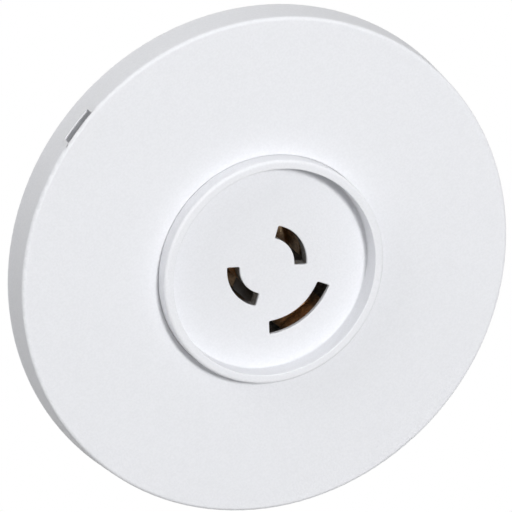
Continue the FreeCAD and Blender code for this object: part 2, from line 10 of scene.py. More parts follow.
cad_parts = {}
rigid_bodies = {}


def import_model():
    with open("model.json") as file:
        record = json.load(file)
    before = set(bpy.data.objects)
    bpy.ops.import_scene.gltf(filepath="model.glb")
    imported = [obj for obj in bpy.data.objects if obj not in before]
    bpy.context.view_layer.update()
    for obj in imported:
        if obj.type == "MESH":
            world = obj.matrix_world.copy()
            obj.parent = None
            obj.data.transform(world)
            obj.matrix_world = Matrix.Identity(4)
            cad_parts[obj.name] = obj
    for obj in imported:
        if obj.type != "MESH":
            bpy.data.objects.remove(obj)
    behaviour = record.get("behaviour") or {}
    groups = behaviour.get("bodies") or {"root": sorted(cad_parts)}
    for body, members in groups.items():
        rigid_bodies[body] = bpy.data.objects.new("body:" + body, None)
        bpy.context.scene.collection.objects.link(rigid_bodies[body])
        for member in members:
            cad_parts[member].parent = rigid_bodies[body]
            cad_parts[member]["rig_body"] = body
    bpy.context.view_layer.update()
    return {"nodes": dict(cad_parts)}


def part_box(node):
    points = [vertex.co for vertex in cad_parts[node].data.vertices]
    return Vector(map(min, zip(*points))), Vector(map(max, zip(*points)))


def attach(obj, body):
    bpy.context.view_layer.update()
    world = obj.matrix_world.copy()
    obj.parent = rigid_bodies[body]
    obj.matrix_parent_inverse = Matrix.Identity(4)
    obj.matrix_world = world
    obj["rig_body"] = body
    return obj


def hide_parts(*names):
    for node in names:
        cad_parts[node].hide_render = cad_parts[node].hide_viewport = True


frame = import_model()

bl_info = {
    "name": "Ceiling Rose",
    "version": (1, 0, 0),
    "blender": (4, 5, 0),
    "location": "3D View > Sidebar > Ceiling Rose",
    "description": "Finishes, contacts, terminals and fasteners of a round ceiling rose",
    "category": "Object",
}

# Everything is in metres: z = 0 is the ceiling and the face looks down.
MM = 0.001

# Each pole's slot, contact and terminal lie on this angle about Z
POLES = {"line": 0.0, "neutral": 180.0, "earth": 270.0}

# Faces that meet at more than this angle are shaded with an edge between them
SHARP_ANGLE = math.radians(35)

# Edges that turn by more than this are broken, with so many faces round each
BREAK_ANGLE = math.radians(50)
BREAK_STEPS = 3

# Steps round a rounded corner, a hole and the swept strips
CORNER_STEPS = 6
HOLE_STEPS = 48
LEAF_STEPS = 36
SPRING_STEPS = 24

# Rings in one turn of a thread, and its depth as a share of the pitch
THREAD_RINGS = 10
TERMINAL_THREAD = 0.55
TAPPING_THREAD = 0.3

# A thread's flanks: how steeply they climb from root to crest, and how much of the climb the root cuts off
FLANK_CLIMB = 1.6
FLANK_CUT = 0.45

# A cutting tool stands this far out of the piece that it cuts
OVERCUT = 1 * MM

# Points of a mesh that lie closer than this are one point
MERGE = 0.001 * MM

# Rays with which a finish looks for the edges that it softens
EDGE_RAYS = 4

# The camera's sensor in millimetres, and what it can see, in metres
SENSOR_WIDTH = 36
NEAREST = 0.05
FARTHEST = 50

# How far the floor reaches to each side, in metres, and how rough it is
FLOOR_REACH = 8
FLOOR_ROUGHNESS = 0.9


# Settings that a user would change

def size_of(name, millimetres, description):
    return FloatProperty(
        name=name, description=description, unit="LENGTH", precision=5, default=millimetres * MM)


def angle_of(name, degrees, description):
    return FloatProperty(
        name=name, description=description, subtype="ANGLE", default=math.radians(degrees))


def share_of(name, value, description):
    return FloatProperty(name=name, description=description, subtype="FACTOR", min=0, max=1, default=value)


def colour_of(name, value, description):
    return FloatVectorProperty(
        name=name, description=description, subtype="COLOR", size=3, min=0, max=1, default=value)


def light_of(name, value, description):
    return FloatProperty(name=name, description=description, min=0, default=value)


class MouldingSettings(PropertyGroup):
    """Finish of the white and the grey mouldings."""

    white: colour_of("White", (0.800, 0.808, 0.836), "Colour of the cover, socket front and base plate")
    # The grey is partly the housing's own colour and partly painted shade: it makes the walls deep in the
    # slots read dark.
    grey: colour_of("Grey", (0.25, 0.245, 0.235), "Colour of the contact housing")
    grain: size_of("Grain", 0.42, "Width of one grain of the moulded texture")
    grain_depth: size_of("Grain depth", 0.03, "Height of the moulded texture")
    sink_depth: size_of("Sink depth", 0.03, "Height of the slow waves that moulding leaves")
    edge: size_of("Edge", 0.12, "Softness of the edges of the mouldings")
    milk: share_of("Milkiness", 0.4, "Share of the light that goes into the white plastic")
    milk_depth: size_of("Milk depth", 0.8, "How far that light goes before it comes out again")
    flow: size_of("Flow", 2.5, "Width of the clouds in the grey moulding")


class ContactSettings(PropertyGroup):
    """Contacts of bronze strip and the springs behind them."""

    bronze: colour_of("Bronze", (0.56, 0.40, 0.26), "Colour of the contacts")
    spring: colour_of("Spring steel", (0.36, 0.36, 0.37), "Colour of the springs")
    strip: size_of("Strip", 0.6, "Thickness of the contacts")
    spring_strip: size_of("Spring strip", 0.4, "Thickness of the springs")
    bend: size_of("Bend", 0.8, "Radius of the strip's bends, at the middle of its thickness")
    break_edge: size_of("Broken edge", 0.1, "Rounding of the strip's cut edges")
    live_span: angle_of("Live span", 72.0, "How far a live contact reaches round the axis")
    partition: size_of("Partition", 1.8, "Thickness of the housing's floor, which the tails pass through")
    tail_width: size_of("Tail width", 5.0, "Width of the tail under a terminal block")
    flare: size_of("Flare", 0.2, "How far each leaf of a live contact opens at its mouth")
    flare_height: size_of("Flare height", 1.4, "Height of that mouth")
    earth_mouth: size_of("Earth mouth", 4.35, "Gap between the earth contact's leaves")
    earth_grip: size_of("Earth grip", 0.85, "How far the earth contact's outer leaf leans in")
    earth_grip_height: size_of("Earth grip height", 2.3, "From that leaf's end to its nearest point")


class TerminalSettings(PropertyGroup):
    """Terminal blocks, clamp plates and all the screws."""

    brass: colour_of("Brass", (0.78, 0.58, 0.27), "Colour of the terminal blocks")
    zinc: colour_of("Zinc", (0.62, 0.63, 0.64), "Colour of the clamp plates and screws")
    break_edge: size_of("Broken edge", 0.15, "Rounding of the edges of blocks and plates")
    thread_gap: size_of("Thread gap", 0.05, "Room round a screw in a terminal block")
    plate_gap: size_of("Plate gap", 0.2, "Room round a screw in a clamp plate")
    clamp_web: size_of("Clamp web", 1.0, "Thickness of a clamp plate under its screw")
    clamp_lip: size_of("Clamp lip", 0.8, "Thickness of a clamp plate's two lips")
    clamp_bend: size_of("Clamp bend", 0.9, "Outer radius of a clamp plate's bends")
    terminal_shank: size_of("Terminal shank", 1.7, "Radius of a terminal screw's thread")
    terminal_head: size_of("Terminal head", 2.2, "Height of a terminal screw's head")
    terminal_pitch: size_of("Terminal pitch", 0.6, "Rise of a terminal screw in one turn")
    housing_shank: size_of("Housing shank", 1.3, "Radius of a housing screw's thread")
    housing_head: size_of("Housing head", 1.7, "Height of a housing screw's head")
    insert_shank: size_of("Insert shank", 1.4, "Radius of an insert screw's thread")
    insert_head: size_of("Insert head", 1.8, "Height of an insert screw's head")
    tapping_pitch: size_of("Tapping pitch", 1.0, "Rise of a housing or insert screw in one turn")
    screw_lead: size_of("Screw lead", 0.7, "Chamfer of a screw's tip")
    drive_width: size_of("Drive width", 0.8, "Width of the slot and cross in a head")
    drive_depth: size_of("Drive depth", 1.1, "Depth of the slot and cross in a head")
    drive_rim: size_of("Drive rim", 1.1, "Metal left outside the cross")
    head_round: size_of("Head rounding", 0.35, "Rounding of a head's edge")
    steps: IntProperty(name="Steps", description="Sides of a screw", min=12, max=96, default=48)


class StageSettings(PropertyGroup):
    """Camera, floor and lamps."""

    azimuth: angle_of("Azimuth", 168.233, "Direction of the camera about Z, from -Y")
    elevation: angle_of("Elevation", -62.240, "Height of the camera above the horizon")
    roll: angle_of("Roll", -49.749, "Turn of the picture about the line of sight")
    distance: size_of("Distance", 1037.1, "From the camera to the middle of the face")
    lens: FloatProperty(name="Lens", description="Focal length of the camera in millimetres", default=378.4)
    aside: size_of("Aside", 2.46, "How far the middle of the face stands right of the picture's centre")
    below: size_of("Below", 2.19, "How far the middle of the face stands below the picture's centre")
    floor_drop: size_of("Floor drop", 2400.0, "Depth of the floor below the ceiling")
    floor: colour_of("Floor", (0.6, 0.6, 0.6), "Colour of the floor in the light that it sends back")
    ambient: light_of("Ambient", 0.356, "Strength of the light from all around")
    key: light_of("Key lamp", 29.0, "Power of the lamp that casts the shadows, in watts")
    key_size: size_of("Key size", 400.0, "Width of that lamp")
    key_azimuth: angle_of("Key azimuth", 146.0, "Its direction about Z, from +X")
    key_drop: angle_of("Key drop", 70.0, "Its direction below the horizon")
    fill: light_of("Fill lamp", 12.3, "Power of the low lamp beside the face, in watts")
    fill_size: size_of("Fill size", 1200.0, "Width of that lamp")
    fill_azimuth: angle_of("Fill azimuth", 74.0, "Its direction about Z, from +X")
    fill_drop: angle_of("Fill drop", 10.0, "Its direction below the horizon")
    back: light_of("Back lamp", 18.0, "Power of the lamp above the back, in watts")
    back_size: size_of("Back size", 1600.0, "Width of that lamp")
    back_azimuth: angle_of("Back azimuth", 80.0, "Its direction about Z, from +X")
    back_rise: angle_of("Back rise", 85.0, "Its direction above the horizon")
    reach: size_of("Reach", 2000.0, "From the lamps to the middle of the face")


# Finishes

class Finish:
    """A node material that varies over the piece's own coordinates."""

    def __init__(self, name, metallic=0.0):
        self.material = bpy.data.materials.new(name)
        self.material.use_nodes = True
        self.nodes = self.material.node_tree.nodes
        self.links = self.material.node_tree.links
        self.shader = self.nodes["Principled BSDF"]
        self.shader.inputs["Metallic"].default_value = metallic
        self.place = self.nodes.new("ShaderNodeTexCoord").outputs["Object"]
        self.surface = None

    def clouds(self, size, stretch=(1, 1, 1), detail=3):
        """Noise whose patches have about this size, longer along an axis that is stretched."""
        scaled = self.nodes.new("ShaderNodeMapping")
        scaled.inputs["Scale"].default_value = [1 / (size * longer) for longer in stretch]
        noise = self.nodes.new("ShaderNodeTexNoise")
        noise.inputs["Scale"].default_value = 1
        noise.inputs["Detail"].default_value = detail
        self.links.new(self.place, scaled.inputs["Vector"])
        self.links.new(scaled.outputs["Vector"], noise.inputs["Vector"])
        return noise.outputs["Fac"]

    def colour(self, source, dark, pale, spread=(0.35, 0.65)):
        """Colours the surface between two shades."""
        ramp = self.nodes.new("ShaderNodeValToRGB")
        for element, at, shade in zip(ramp.color_ramp.elements, spread, (dark, pale)):
            element.position = at
            element.color = (*shade, 1)
        self.links.new(source, ramp.inputs["Fac"])
        self.links.new(ramp.outputs["Color"], self.shader.inputs["Base Color"])

    def gloss(self, source, smooth, rough, spread=(0.3, 0.7)):
        """Varies the roughness between two values."""
        span = self.nodes.new("ShaderNodeMapRange")
        for socket, value in zip(("From Min", "From Max", "To Min", "To Max"), (*spread, smooth, rough)):
            span.inputs[socket].default_value = value
        self.links.new(source, span.inputs["Value"])
        self.links.new(span.outputs["Result"], self.shader.inputs["Roughness"])

    def edges(self, radius):
        """Lets the light run softly over edges that are still sharp in the mesh."""
        bevel = self.nodes.new("ShaderNodeBevel")
        bevel.samples = EDGE_RAYS
        bevel.inputs["Radius"].default_value = radius
        self.surface = bevel.outputs["Normal"]
        self.links.new(self.surface, self.shader.inputs["Normal"])

    def relief(self, source, depth):
        """Raises the surface a little, over any relief that it has already."""
        bump = self.nodes.new("ShaderNodeBump")
        bump.inputs["Distance"].default_value = depth
        self.links.new(source, bump.inputs["Height"])
        if self.surface:
            self.links.new(self.surface, bump.inputs["Normal"])
        self.surface = bump.outputs["Normal"]
        self.links.new(self.surface, self.shader.inputs["Normal"])


def shade(colour, amount):
    """The same colour, paler or darker."""
    return [min(channel * amount, 1.0) for channel in colour]


def moulded_white(settings):
    """Matte, slightly milky white plastic from a spark-eroded mould."""
    finish = Finish("moulded_white")
    grain = finish.clouds(settings.grain, detail=2)
    finish.colour(grain, dark=shade(settings.white, 0.98), pale=shade(settings.white, 1.015))
    finish.gloss(finish.clouds(1.2 * MM), smooth=0.55, rough=0.66)
    finish.shader.inputs["Specular IOR Level"].default_value = 0.35
    finish.shader.inputs["Subsurface Weight"].default_value = settings.milk
    finish.shader.inputs["Subsurface Radius"].default_value = (1, 1, 1)
    finish.shader.inputs["Subsurface Scale"].default_value = settings.milk_depth
    finish.edges(settings.edge)
    finish.relief(finish.clouds(14 * MM), settings.sink_depth)
    finish.relief(grain, settings.grain_depth)
    return finish.material


def moulded_grey(settings):
    """Phenolic with the faint flow of its filler and some gloss; its grey is partly the housing's own
    colour and partly painted shade, darkening the slot walls behind the thin white lips.
    """
    finish = Finish("moulded_grey")
    flow = finish.clouds(settings.flow, stretch=(1, 1, 2), detail=6)
    finish.colour(flow, dark=shade(settings.grey, 0.95), pale=shade(settings.grey, 1.06))
    finish.gloss(finish.clouds(0.8 * MM), smooth=0.2, rough=0.34)
    finish.edges(settings.edge)
    finish.relief(finish.clouds(0.5 * MM), depth=0.004 * MM)
    return finish.material


def rolled_bronze(settings):
    """Strip with rolling lines and brown tarnish."""
    finish = Finish("rolled_bronze", metallic=1.0)
    tarnish = finish.clouds(2.2 * MM, detail=3)
    finish.colour(tarnish, dark=shade(settings.bronze, 0.62), pale=shade(settings.bronze, 1.3))
    lines = finish.clouds(0.12 * MM, stretch=(1, 1, 18))
    finish.gloss(lines, smooth=0.24, rough=0.4)
    finish.relief(lines, depth=0.002 * MM)
    return finish.material


def spring_steel(settings):
    """Dull strip with lines along its length."""
    finish = Finish("spring_steel", metallic=1.0)
    stains = finish.clouds(1.5 * MM, detail=5)
    finish.colour(stains, dark=shade(settings.spring, 0.7), pale=shade(settings.spring, 1.15))
    lines = finish.clouds(0.1 * MM, stretch=(1, 1, 15))
    finish.gloss(lines, smooth=0.26, rough=0.44)
    finish.relief(lines, depth=0.002 * MM)
    return finish.material


def machined_brass(settings):
    """Sawn and milled bar with its tool marks."""
    finish = Finish("machined_brass", metallic=1.0)
    stains = finish.clouds(1.8 * MM, detail=5)
    finish.colour(stains, dark=shade(settings.brass, 0.8), pale=shade(settings.brass, 1.06))
    marks = finish.clouds(0.09 * MM, stretch=(25, 25, 1))
    finish.gloss(marks, smooth=0.2, rough=0.36)
    finish.relief(marks, depth=0.003 * MM)
    return finish.material


def zinc_plate(settings):
    """Zinc with a faint blue passivation and a fine crystal bloom, one for all the plated pieces."""
    made = bpy.data.materials.get("zinc_plate")
    if made:
        return made
    finish = Finish("zinc_plate", metallic=1.0)
    bloom = finish.clouds(0.7 * MM, detail=6)
    blue = [channel * tint for channel, tint in zip(settings.zinc, (0.86, 0.94, 1.04))]
    straw = [channel * tint for channel, tint in zip(settings.zinc, (1.08, 1.04, 0.94))]
    finish.colour(bloom, dark=blue, pale=straw)
    finish.gloss(finish.clouds(0.35 * MM, detail=4), smooth=0.22, rough=0.42)
    finish.relief(finish.clouds(0.15 * MM), depth=0.002 * MM)
    return finish.material


def dress(node, material):
    """Gives a solid of the frame its finish."""
    data = frame["nodes"][node].data
    data.materials.clear()
    data.materials.append(material)


# Boxes of the frame's solids

def box_of(places):
    """Lowest and highest corner of some points."""
    axes = list(zip(*places))
    return Vector([min(axis) for axis in axes]), Vector([max(axis) for axis in axes])


def box_on_x(pole, piece):
    """Box of a pole's piece, turned back onto +X."""
    back = Matrix.Rotation(-math.radians(POLES[pole]), 3, "Z")
    return box_of([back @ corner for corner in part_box(pole + "_" + piece)])


def solid_boxes(node):
    """Box of each separate solid in a node."""
    bm = bmesh.new()
    bm.from_mesh(frame["nodes"][node].data)
    bmesh.ops.remove_doubles(bm, verts=bm.verts, dist=MERGE)
    unseen = set(bm.verts)
    boxes = []
    while unseen:
        reached = [unseen.pop()]
        for vert in reached:
            for edge in vert.link_edges:
                other = edge.other_vert(vert)
                if other in unseen:
                    unseen.remove(other)
                    reached.append(other)
        boxes.append(box_of([vert.co for vert in reached]))
    bm.free()
    return boxes


# Mesh tools

def to_mesh(bm):
    """Mesh with all its faces turned outwards."""
    bmesh.ops.recalc_face_normals(bm, faces=bm.faces)
    data = bpy.data.meshes.new("shape")
    bm.to_mesh(data)
    bm.free()
    return data


def rounded(points, radius):
    """A path in a plane with its inner corners rounded."""
    path = [Vector(points[0])]
    for before, here, after in zip(points, points[1:], points[2:]):
        here = Vector(here)
        back = (Vector(before) - here).normalized()
        ahead = (Vector(after) - here).normalized()
        half = back.angle(ahead) / 2
        centre = here + (back + ahead).normalized() * (radius / math.sin(half))
        start = here + back * (radius / math.tan(half)) - centre
        sweep = math.copysign(math.pi - 2 * half, ahead.cross(back))
        for k in range(CORNER_STEPS + 1):
            path.append(centre + Matrix.Rotation(sweep * k / CORNER_STEPS, 2) @ start)
    path.append(Vector(points[-1]))
    return path


def strip_outline(path, thickness):
    """Outline of a strip of even thickness along a path."""
    left, right = [], []
    for i, here in enumerate(path):
        back = here - path[i - 1] if i else path[1] - here
        ahead = path[i + 1] - here if i + 1 < len(path) else back
        way = (back.normalized() + ahead.normalized()).normalized()
        side = Vector((-way.y, way.x)) * (thickness / 2 / way.dot(ahead.normalized()))
        left.append(here + side)
        right.append(here - side)
    return left + right[::-1]


def break_edges(bm, width):
    """Rounds every sharp edge."""
    bmesh.ops.recalc_face_normals(bm, faces=bm.faces)
    sharp = [e for e in bm.edges if e.is_manifold and e.calc_face_angle() > BREAK_ANGLE]
    bmesh.ops.bevel(
        bm, geom=sharp, offset=width, segments=BREAK_STEPS, profile=0.5, affect="EDGES", clamp_overlap=True)


def skinned(loops, break_edge):
    """Closed surface over a row of like loops of points, with its sharp edges broken."""
    bm = bmesh.new()
    rows = [[bm.verts.new(place) for place in loop] for loop in loops]
    for row, after in zip(rows, rows[1:]):
        for i in range(len(row)):
            bm.faces.new((row[i - 1], row[i], after[i], after[i - 1]))
    bm.faces.new(rows[0])
    bm.faces.new(rows[-1])
    if break_edge:
        break_edges(bm, break_edge)
    return to_mesh(bm)


def pushed_out(outline, width, break_edge):
    """An outline in x and z, pushed out to both sides of the XZ plane."""
    return skinned([[(p.x, side * width / 2, p.y) for p in outline] for side in (-1, 1)], break_edge)


def swept(outline, span, steps, break_edge):
    """An outline in radius and height, swept about Z to both sides of +X."""
    loops = []
    for k in range(steps + 1):
        angle = span * (k / steps - 0.5)
        loops.append([(p.x * math.cos(angle), p.x * math.sin(angle), p.y) for p in outline])
    return skinned(loops, break_edge)


def plain_box(low, high):
    """Block with sharp edges between two corners."""
    corners = (low[0], low[2]), (high[0], low[2]), (high[0], high[2]), (low[0], high[2])
    data = pushed_out([Vector(corner) for corner in corners], high[1] - low[1], 0)
    data.transform(Matrix.Translation((0, (low[1] + high[1]) / 2, 0)))
    return data


def rod(x, radius, low_z, high_z):
    """Upright round bar, to cut a hole with."""
    loops = []
    for z in (low_z, high_z):
        turns = [2 * math.pi * k / HOLE_STEPS for k in range(HOLE_STEPS)]
        loops.append([(x + radius * math.cos(a), radius * math.sin(a), z) for a in turns])
    return skinned(loops, 0)


def combined(data, others, operation):
    """Cuts other solids out of a mesh, or joins them to it."""
    scene = bpy.context.scene
    work = bpy.data.objects.new("work", data)
    tools = [bpy.data.objects.new("tool", other) for other in others]
    for item in [work] + tools:
        scene.collection.objects.link(item)
    for tool in tools:
        step = work.modifiers.new("step", "BOOLEAN")
        step.operation = operation
        step.solver = "EXACT"
        step.object = tool
    bpy.context.view_layer.update()
    result = bpy.data.meshes.new_from_object(work.evaluated_get(bpy.context.evaluated_depsgraph_get()))
    for item in [work] + tools:
        bpy.data.objects.remove(item)
    if not result.polygons:
        raise RuntimeError("nothing is left of a shape that was cut or joined")
    return result


def softened(data, width):
    """The same solid with its sharp edges broken."""
    bm = bmesh.new()
    bm.from_mesh(data)
    bmesh.ops.dissolve_degenerate(bm, dist=MERGE, edges=bm.edges)
    break_edges(bm, width)
    return to_mesh(bm)


def finished_piece(node, data, material):
    """Shows a mesh in place of a solid of the frame, on that solid's body."""
    data.name = node + "_shape"
    data.materials.clear()
    data.materials.append(material)
    data.shade_smooth()
    data.set_sharp_from_angle(angle=SHARP_ANGLE)
    piece = bpy.data.objects.new(node + "_piece", data)
    bpy.context.scene.collection.objects.link(piece)
    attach(piece, frame["nodes"][node]["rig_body"])
    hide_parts(node)


def finished_on_pole(pole, piece, data, material):
    """Turns a mesh from +X to its pole and shows it in place of that pole's solid."""
    copy = data.copy()
    copy.transform(Matrix.Rotation(math.radians(POLES[pole]), 4, "Z"))
    finished_piece(pole + "_" + piece, copy, material)


# Mouldings

class ROSE_OT_white_mouldings(Operator):
    """Finish the cover, the socket front and the base plate"""

    bl_idname = "rose.white_mouldings"
    bl_label = "White mouldings"

    def execute(self, context):
        white = moulded_white(context.scene.rose_mouldings)
        for node in ("cover_disc", "socket_front", "base_plate"):
            dress(node, white)
        return {"FINISHED"}


class ROSE_OT_contact_housing(Operator):
    """Finish the grey moulding that holds the contacts"""

    bl_idname = "rose.contact_housing"
    bl_label = "Contact housing"

    def execute(self, context):
        dress("contact_housing", moulded_grey(context.scene.rose_mouldings))
        return {"FINISHED"}


# Contacts and springs

def contact_tail(settings, x, low, high):
    """Strip that rises through the housing and turns outwards under a terminal block."""
    half = settings.strip / 2
    low_z = high.z - settings.strip - settings.partition - settings.strip
    path = rounded([(x, low_z), (x, high.z - half), (high.x, high.z - half)], settings.bend)
    return pushed_out(strip_outline(path, settings.strip), settings.tail_width, settings.break_edge)


def live_contact(settings):
    """Two curved leaves joined by a bridge, with a flared mouth, and the tail to the terminal."""
    low, high = box_on_x("line", "contact")
    half = settings.strip / 2
    outer = high.y / math.sin(settings.live_span / 2) - half
    inner = low.x / math.cos(settings.live_span / 2) + half
    bridge_z = high.z - settings.strip - settings.partition - half
    mouth_z = low.z + settings.flare_height
    lean = settings.flare / settings.flare_height
    end_z = low.z + half * lean
    path = rounded([
        (outer + settings.flare, end_z),
        (outer, mouth_z),
        (outer, bridge_z),
        (inner, bridge_z),
        (inner, mouth_z),
        (inner - settings.flare, end_z),
    ], settings.bend)
    outline = strip_outline(path, settings.strip)
    leaves = swept(outline, settings.live_span, LEAF_STEPS, settings.break_edge)
    return combined(leaves, [contact_tail(settings, outer, low, high)], "UNION")


def earth_contact(settings):
    """A straight leaf and one that leans in to grip the blade, a bridge and the tail to the terminal."""
    low, high = box_on_x("earth", "contact")
    half = settings.strip / 2
    inner = low.x + half
    outer = inner + half + settings.earth_mouth + half
    bridge_z = high.z - settings.strip - settings.partition - half
    grip_x = outer - settings.earth_grip
    lean = settings.earth_grip / settings.earth_grip_height
    path = rounded([
        (outer, low.z + half * lean),
        (grip_x, low.z + settings.earth_grip_height),
        (outer, bridge_z),
        (inner, bridge_z),
        (inner, low.z),
    ], settings.bend)
    leaves = pushed_out(strip_outline(path, settings.strip), high.y - low.y, settings.break_edge)
    return combined(leaves, [contact_tail(settings, inner, low, high)], "UNION")


class ROSE_OT_contacts(Operator):
    """Build the three bronze contacts"""

    bl_idname = "rose.contacts"
    bl_label = "Contacts"

    def execute(self, context):
        settings = context.scene.rose_contacts
        bronze = rolled_bronze(settings)
        live = live_contact(settings)
        for pole in ("line", "neutral"):
            finished_on_pole(pole, "contact", live, bronze)
        finished_on_pole("earth", "contact", earth_contact(settings), bronze)
        return {"FINISHED"}


class ROSE_OT_springs(Operator):
    """Build the steel leaves behind the contacts"""

    bl_idname = "rose.springs"
    bl_label = "Springs"

    def execute(self, context):
        settings = context.scene.rose_contacts
        steel = spring_steel(settings)
        half = settings.spring_strip / 2
        low, high = box_on_x("line", "spring")
        middle = high.x - half
        path = [Vector((middle, low.z)), Vector((middle, high.z))]
        span = 2 * math.asin(high.y / high.x)
        live = swept(strip_outline(path, settings.spring_strip), span, SPRING_STEPS, settings.break_edge)
        for pole in ("line", "neutral"):
            finished_on_pole(pole, "spring", live, steel)
        low, high = box_on_x("earth", "spring")
        path = [Vector((low.x + half, low.z)), Vector((high.x - half, high.z))]
        outline = [p + Vector((side * half, 0)) for side in (-1, 1) for p in path[::side]]
        finished_on_pole("earth", "spring", pushed_out(outline, high.y - low.y, settings.break_edge), steel)
        return {"FINISHED"}


# Terminals

class ROSE_OT_terminal_blocks(Operator):
    """Build the brass blocks that take the terminal screws"""

    bl_idname = "rose.terminal_blocks"
    bl_label = "Terminal blocks"

    def execute(self, context):
        settings = context.scene.rose_terminals
        brass = machined_brass(settings)
        low, high = box_on_x("line", "terminal_block")
        middle = (low.x + high.x) / 2
        block = softened(plain_box(low, high), 2 * settings.break_edge)
        hole = rod(middle, settings.terminal_shank + settings.thread_gap, low.z - OVERCUT, high.z + OVERCUT)
        block = softened(combined(block, [hole], "DIFFERENCE"), settings.break_edge)
        for pole in POLES:
            finished_on_pole(pole, "terminal_block", block, brass)
        return {"FINISHED"}


class ROSE_OT_clamp_plates(Operator):
    """Build the steel saddles that the terminal screws press on the wires"""

    bl_idname = "rose.clamp_plates"
    bl_label = "Clamp plates"

    def execute(self, context):
        settings = context.scene.rose_terminals
        zinc = zinc_plate(settings)
        low, high = box_on_x("line", "clamp_plate")
        middle = (low.x + high.x) / 2
        inner_y = high.y - settings.clamp_lip
        inner_z = high.z - settings.clamp_web
        tight = settings.clamp_bend - settings.clamp_lip
        outer = [(low.y, low.z), (low.y, high.z), (high.y, high.z), (high.y, low.z)]
        inner = [(inner_y, low.z), (inner_y, inner_z), (-inner_y, inner_z), (-inner_y, low.z)]
        outside = rounded(outer, settings.clamp_bend)
        inside = rounded(inner, tight)
        saddle = pushed_out(outside + inside, high.x - low.x, settings.break_edge)
        saddle.transform(Matrix.Translation((middle, 0, 0)) @ Matrix.Rotation(math.pi / 2, 4, "Z"))
        hole = rod(middle, settings.terminal_shank + settings.plate_gap, low.z, high.z + OVERCUT)
        saddle = combined(saddle, [hole], "DIFFERENCE")
        for pole in POLES:
            finished_on_pole(pole, "clamp_plate", saddle, zinc)
        return {"FINISHED"}


# Screws

def screw(settings, head_radius, head_height, shank, pitch, depth, low_z, high_z):
    """Screw on the Z axis, head up, with a turned thread and a slot and cross in its head."""
    seat_z = high_z - head_height
    root = shank - depth

    def thread(z, turn):
        ramp = abs(2 * ((z / pitch - turn) % 1.0) - 1)
        crest = root + depth * min(max(FLANK_CLIMB * ramp - FLANK_CUT, 0.0), 1.0)
        lead = shank - settings.screw_lead + (z - low_z)
        runout = root + (seat_z - z)
        return min(crest, lead, max(root, runout))

    turns = [k / settings.steps for k in range(settings.steps)]
    angles = [2 * math.pi * turn for turn in turns]
    rings = []
    count = math.ceil((seat_z - low_z) / pitch * THREAD_RINGS)
    for k in range(count + 1):
        z = low_z + (seat_z - low_z) * k / count
        rings.append([(thread(z, turn), z) for turn in turns])
    head = rounded([(head_radius, seat_z), (head_radius, high_z), (0, high_z)], settings.head_round)
    rings += [[(p.x, p.y)] * settings.steps for p in head[:-1]]
    loops = []
    for ring in rings:
        loops.append([(r * math.cos(a), r * math.sin(a), z) for a, (r, z) in zip(angles, ring)])
    half = settings.drive_width / 2
    low_cut = high_z - settings.drive_depth
    top_cut = high_z + OVERCUT
    reach = head_radius + OVERCUT
    cross = head_radius - settings.drive_rim
    slot = plain_box((-reach, -half, low_cut), (reach, half, top_cut))
    bar = plain_box((-half, -cross, low_cut), (half, cross, top_cut))
    return combined(skinned(loops, 0), [slot, bar], "DIFFERENCE")


def screw_group(node, settings, shank, head_height, material):
    """Like screws, one for each solid of a node."""
    bm = bmesh.new()
    for low, high in solid_boxes(node):
        middle = (low + high) / 2
        one = screw(
            settings, high.x - middle.x, head_height, shank, settings.tapping_pitch,
            TAPPING_THREAD * settings.tapping_pitch, low.z, high.z)
        one.transform(Matrix.Translation((middle.x, middle.y, 0)))
        bm.from_mesh(one)
    finished_piece(node, to_mesh(bm), material)


class ROSE_OT_terminal_screws(Operator):
    """Build the three terminal screws"""

    bl_idname = "rose.terminal_screws"
    bl_label = "Terminal screws"

    def execute(self, context):
        settings = context.scene.rose_terminals
        zinc = zinc_plate(settings)
        low, high = box_on_x("line", "terminal_screw")
        middle = (low + high) / 2
        one = screw(
            settings, high.y, settings.terminal_head, settings.terminal_shank, settings.terminal_pitch,
            TERMINAL_THREAD * settings.terminal_pitch, low.z, high.z)
        one.transform(Matrix.Translation((middle.x, 0, 0)))
        for pole in POLES:
            finished_on_pole(pole, "terminal_screw", one, zinc)
        return {"FINISHED"}


class ROSE_OT_assembly_screws(Operator):
    """Build the screws that hold the housing and the socket front"""

    bl_idname = "rose.assembly_screws"
    bl_label = "Assembly screws"

    def execute(self, context):
        settings = context.scene.rose_terminals
        zinc = zinc_plate(settings)
        screw_group("housing_screws", settings, settings.housing_shank, settings.housing_head, zinc)
        screw_group("insert_screws", settings, settings.insert_shank, settings.insert_head, zinc)
        return {"FINISHED"}


# Stage

def white_behind(tree, output, lit, lit_socket):
    """Shows plain white to the camera, in reflections and through glass, and the lit shader otherwise."""
    nodes, links = tree.nodes, tree.links
    path = nodes.new("ShaderNodeLightPath")
    seen = path.outputs["Is Camera Ray"]
    for ray in ("Is Glossy Ray", "Is Transmission Ray"):
        either = nodes.new("ShaderNodeMath")
        either.operation = "MAXIMUM"
        links.new(seen, either.inputs[0])
        links.new(path.outputs[ray], either.inputs[1])
        seen = either.outputs["Value"]
    white = nodes.new("ShaderNodeBackground" if tree.nodes.get("Background") else "ShaderNodeEmission")
    white.inputs["Color"].default_value = (1, 1, 1, 1)
    white.inputs["Strength"].default_value = 1
    mix = nodes.new("ShaderNodeMixShader")
    links.new(seen, mix.inputs["Fac"])
    links.new(lit.outputs[lit_socket], mix.inputs[1])
    links.new(white.outputs[0], mix.inputs[2])
    links.new(mix.outputs["Shader"], output.inputs["Surface"])


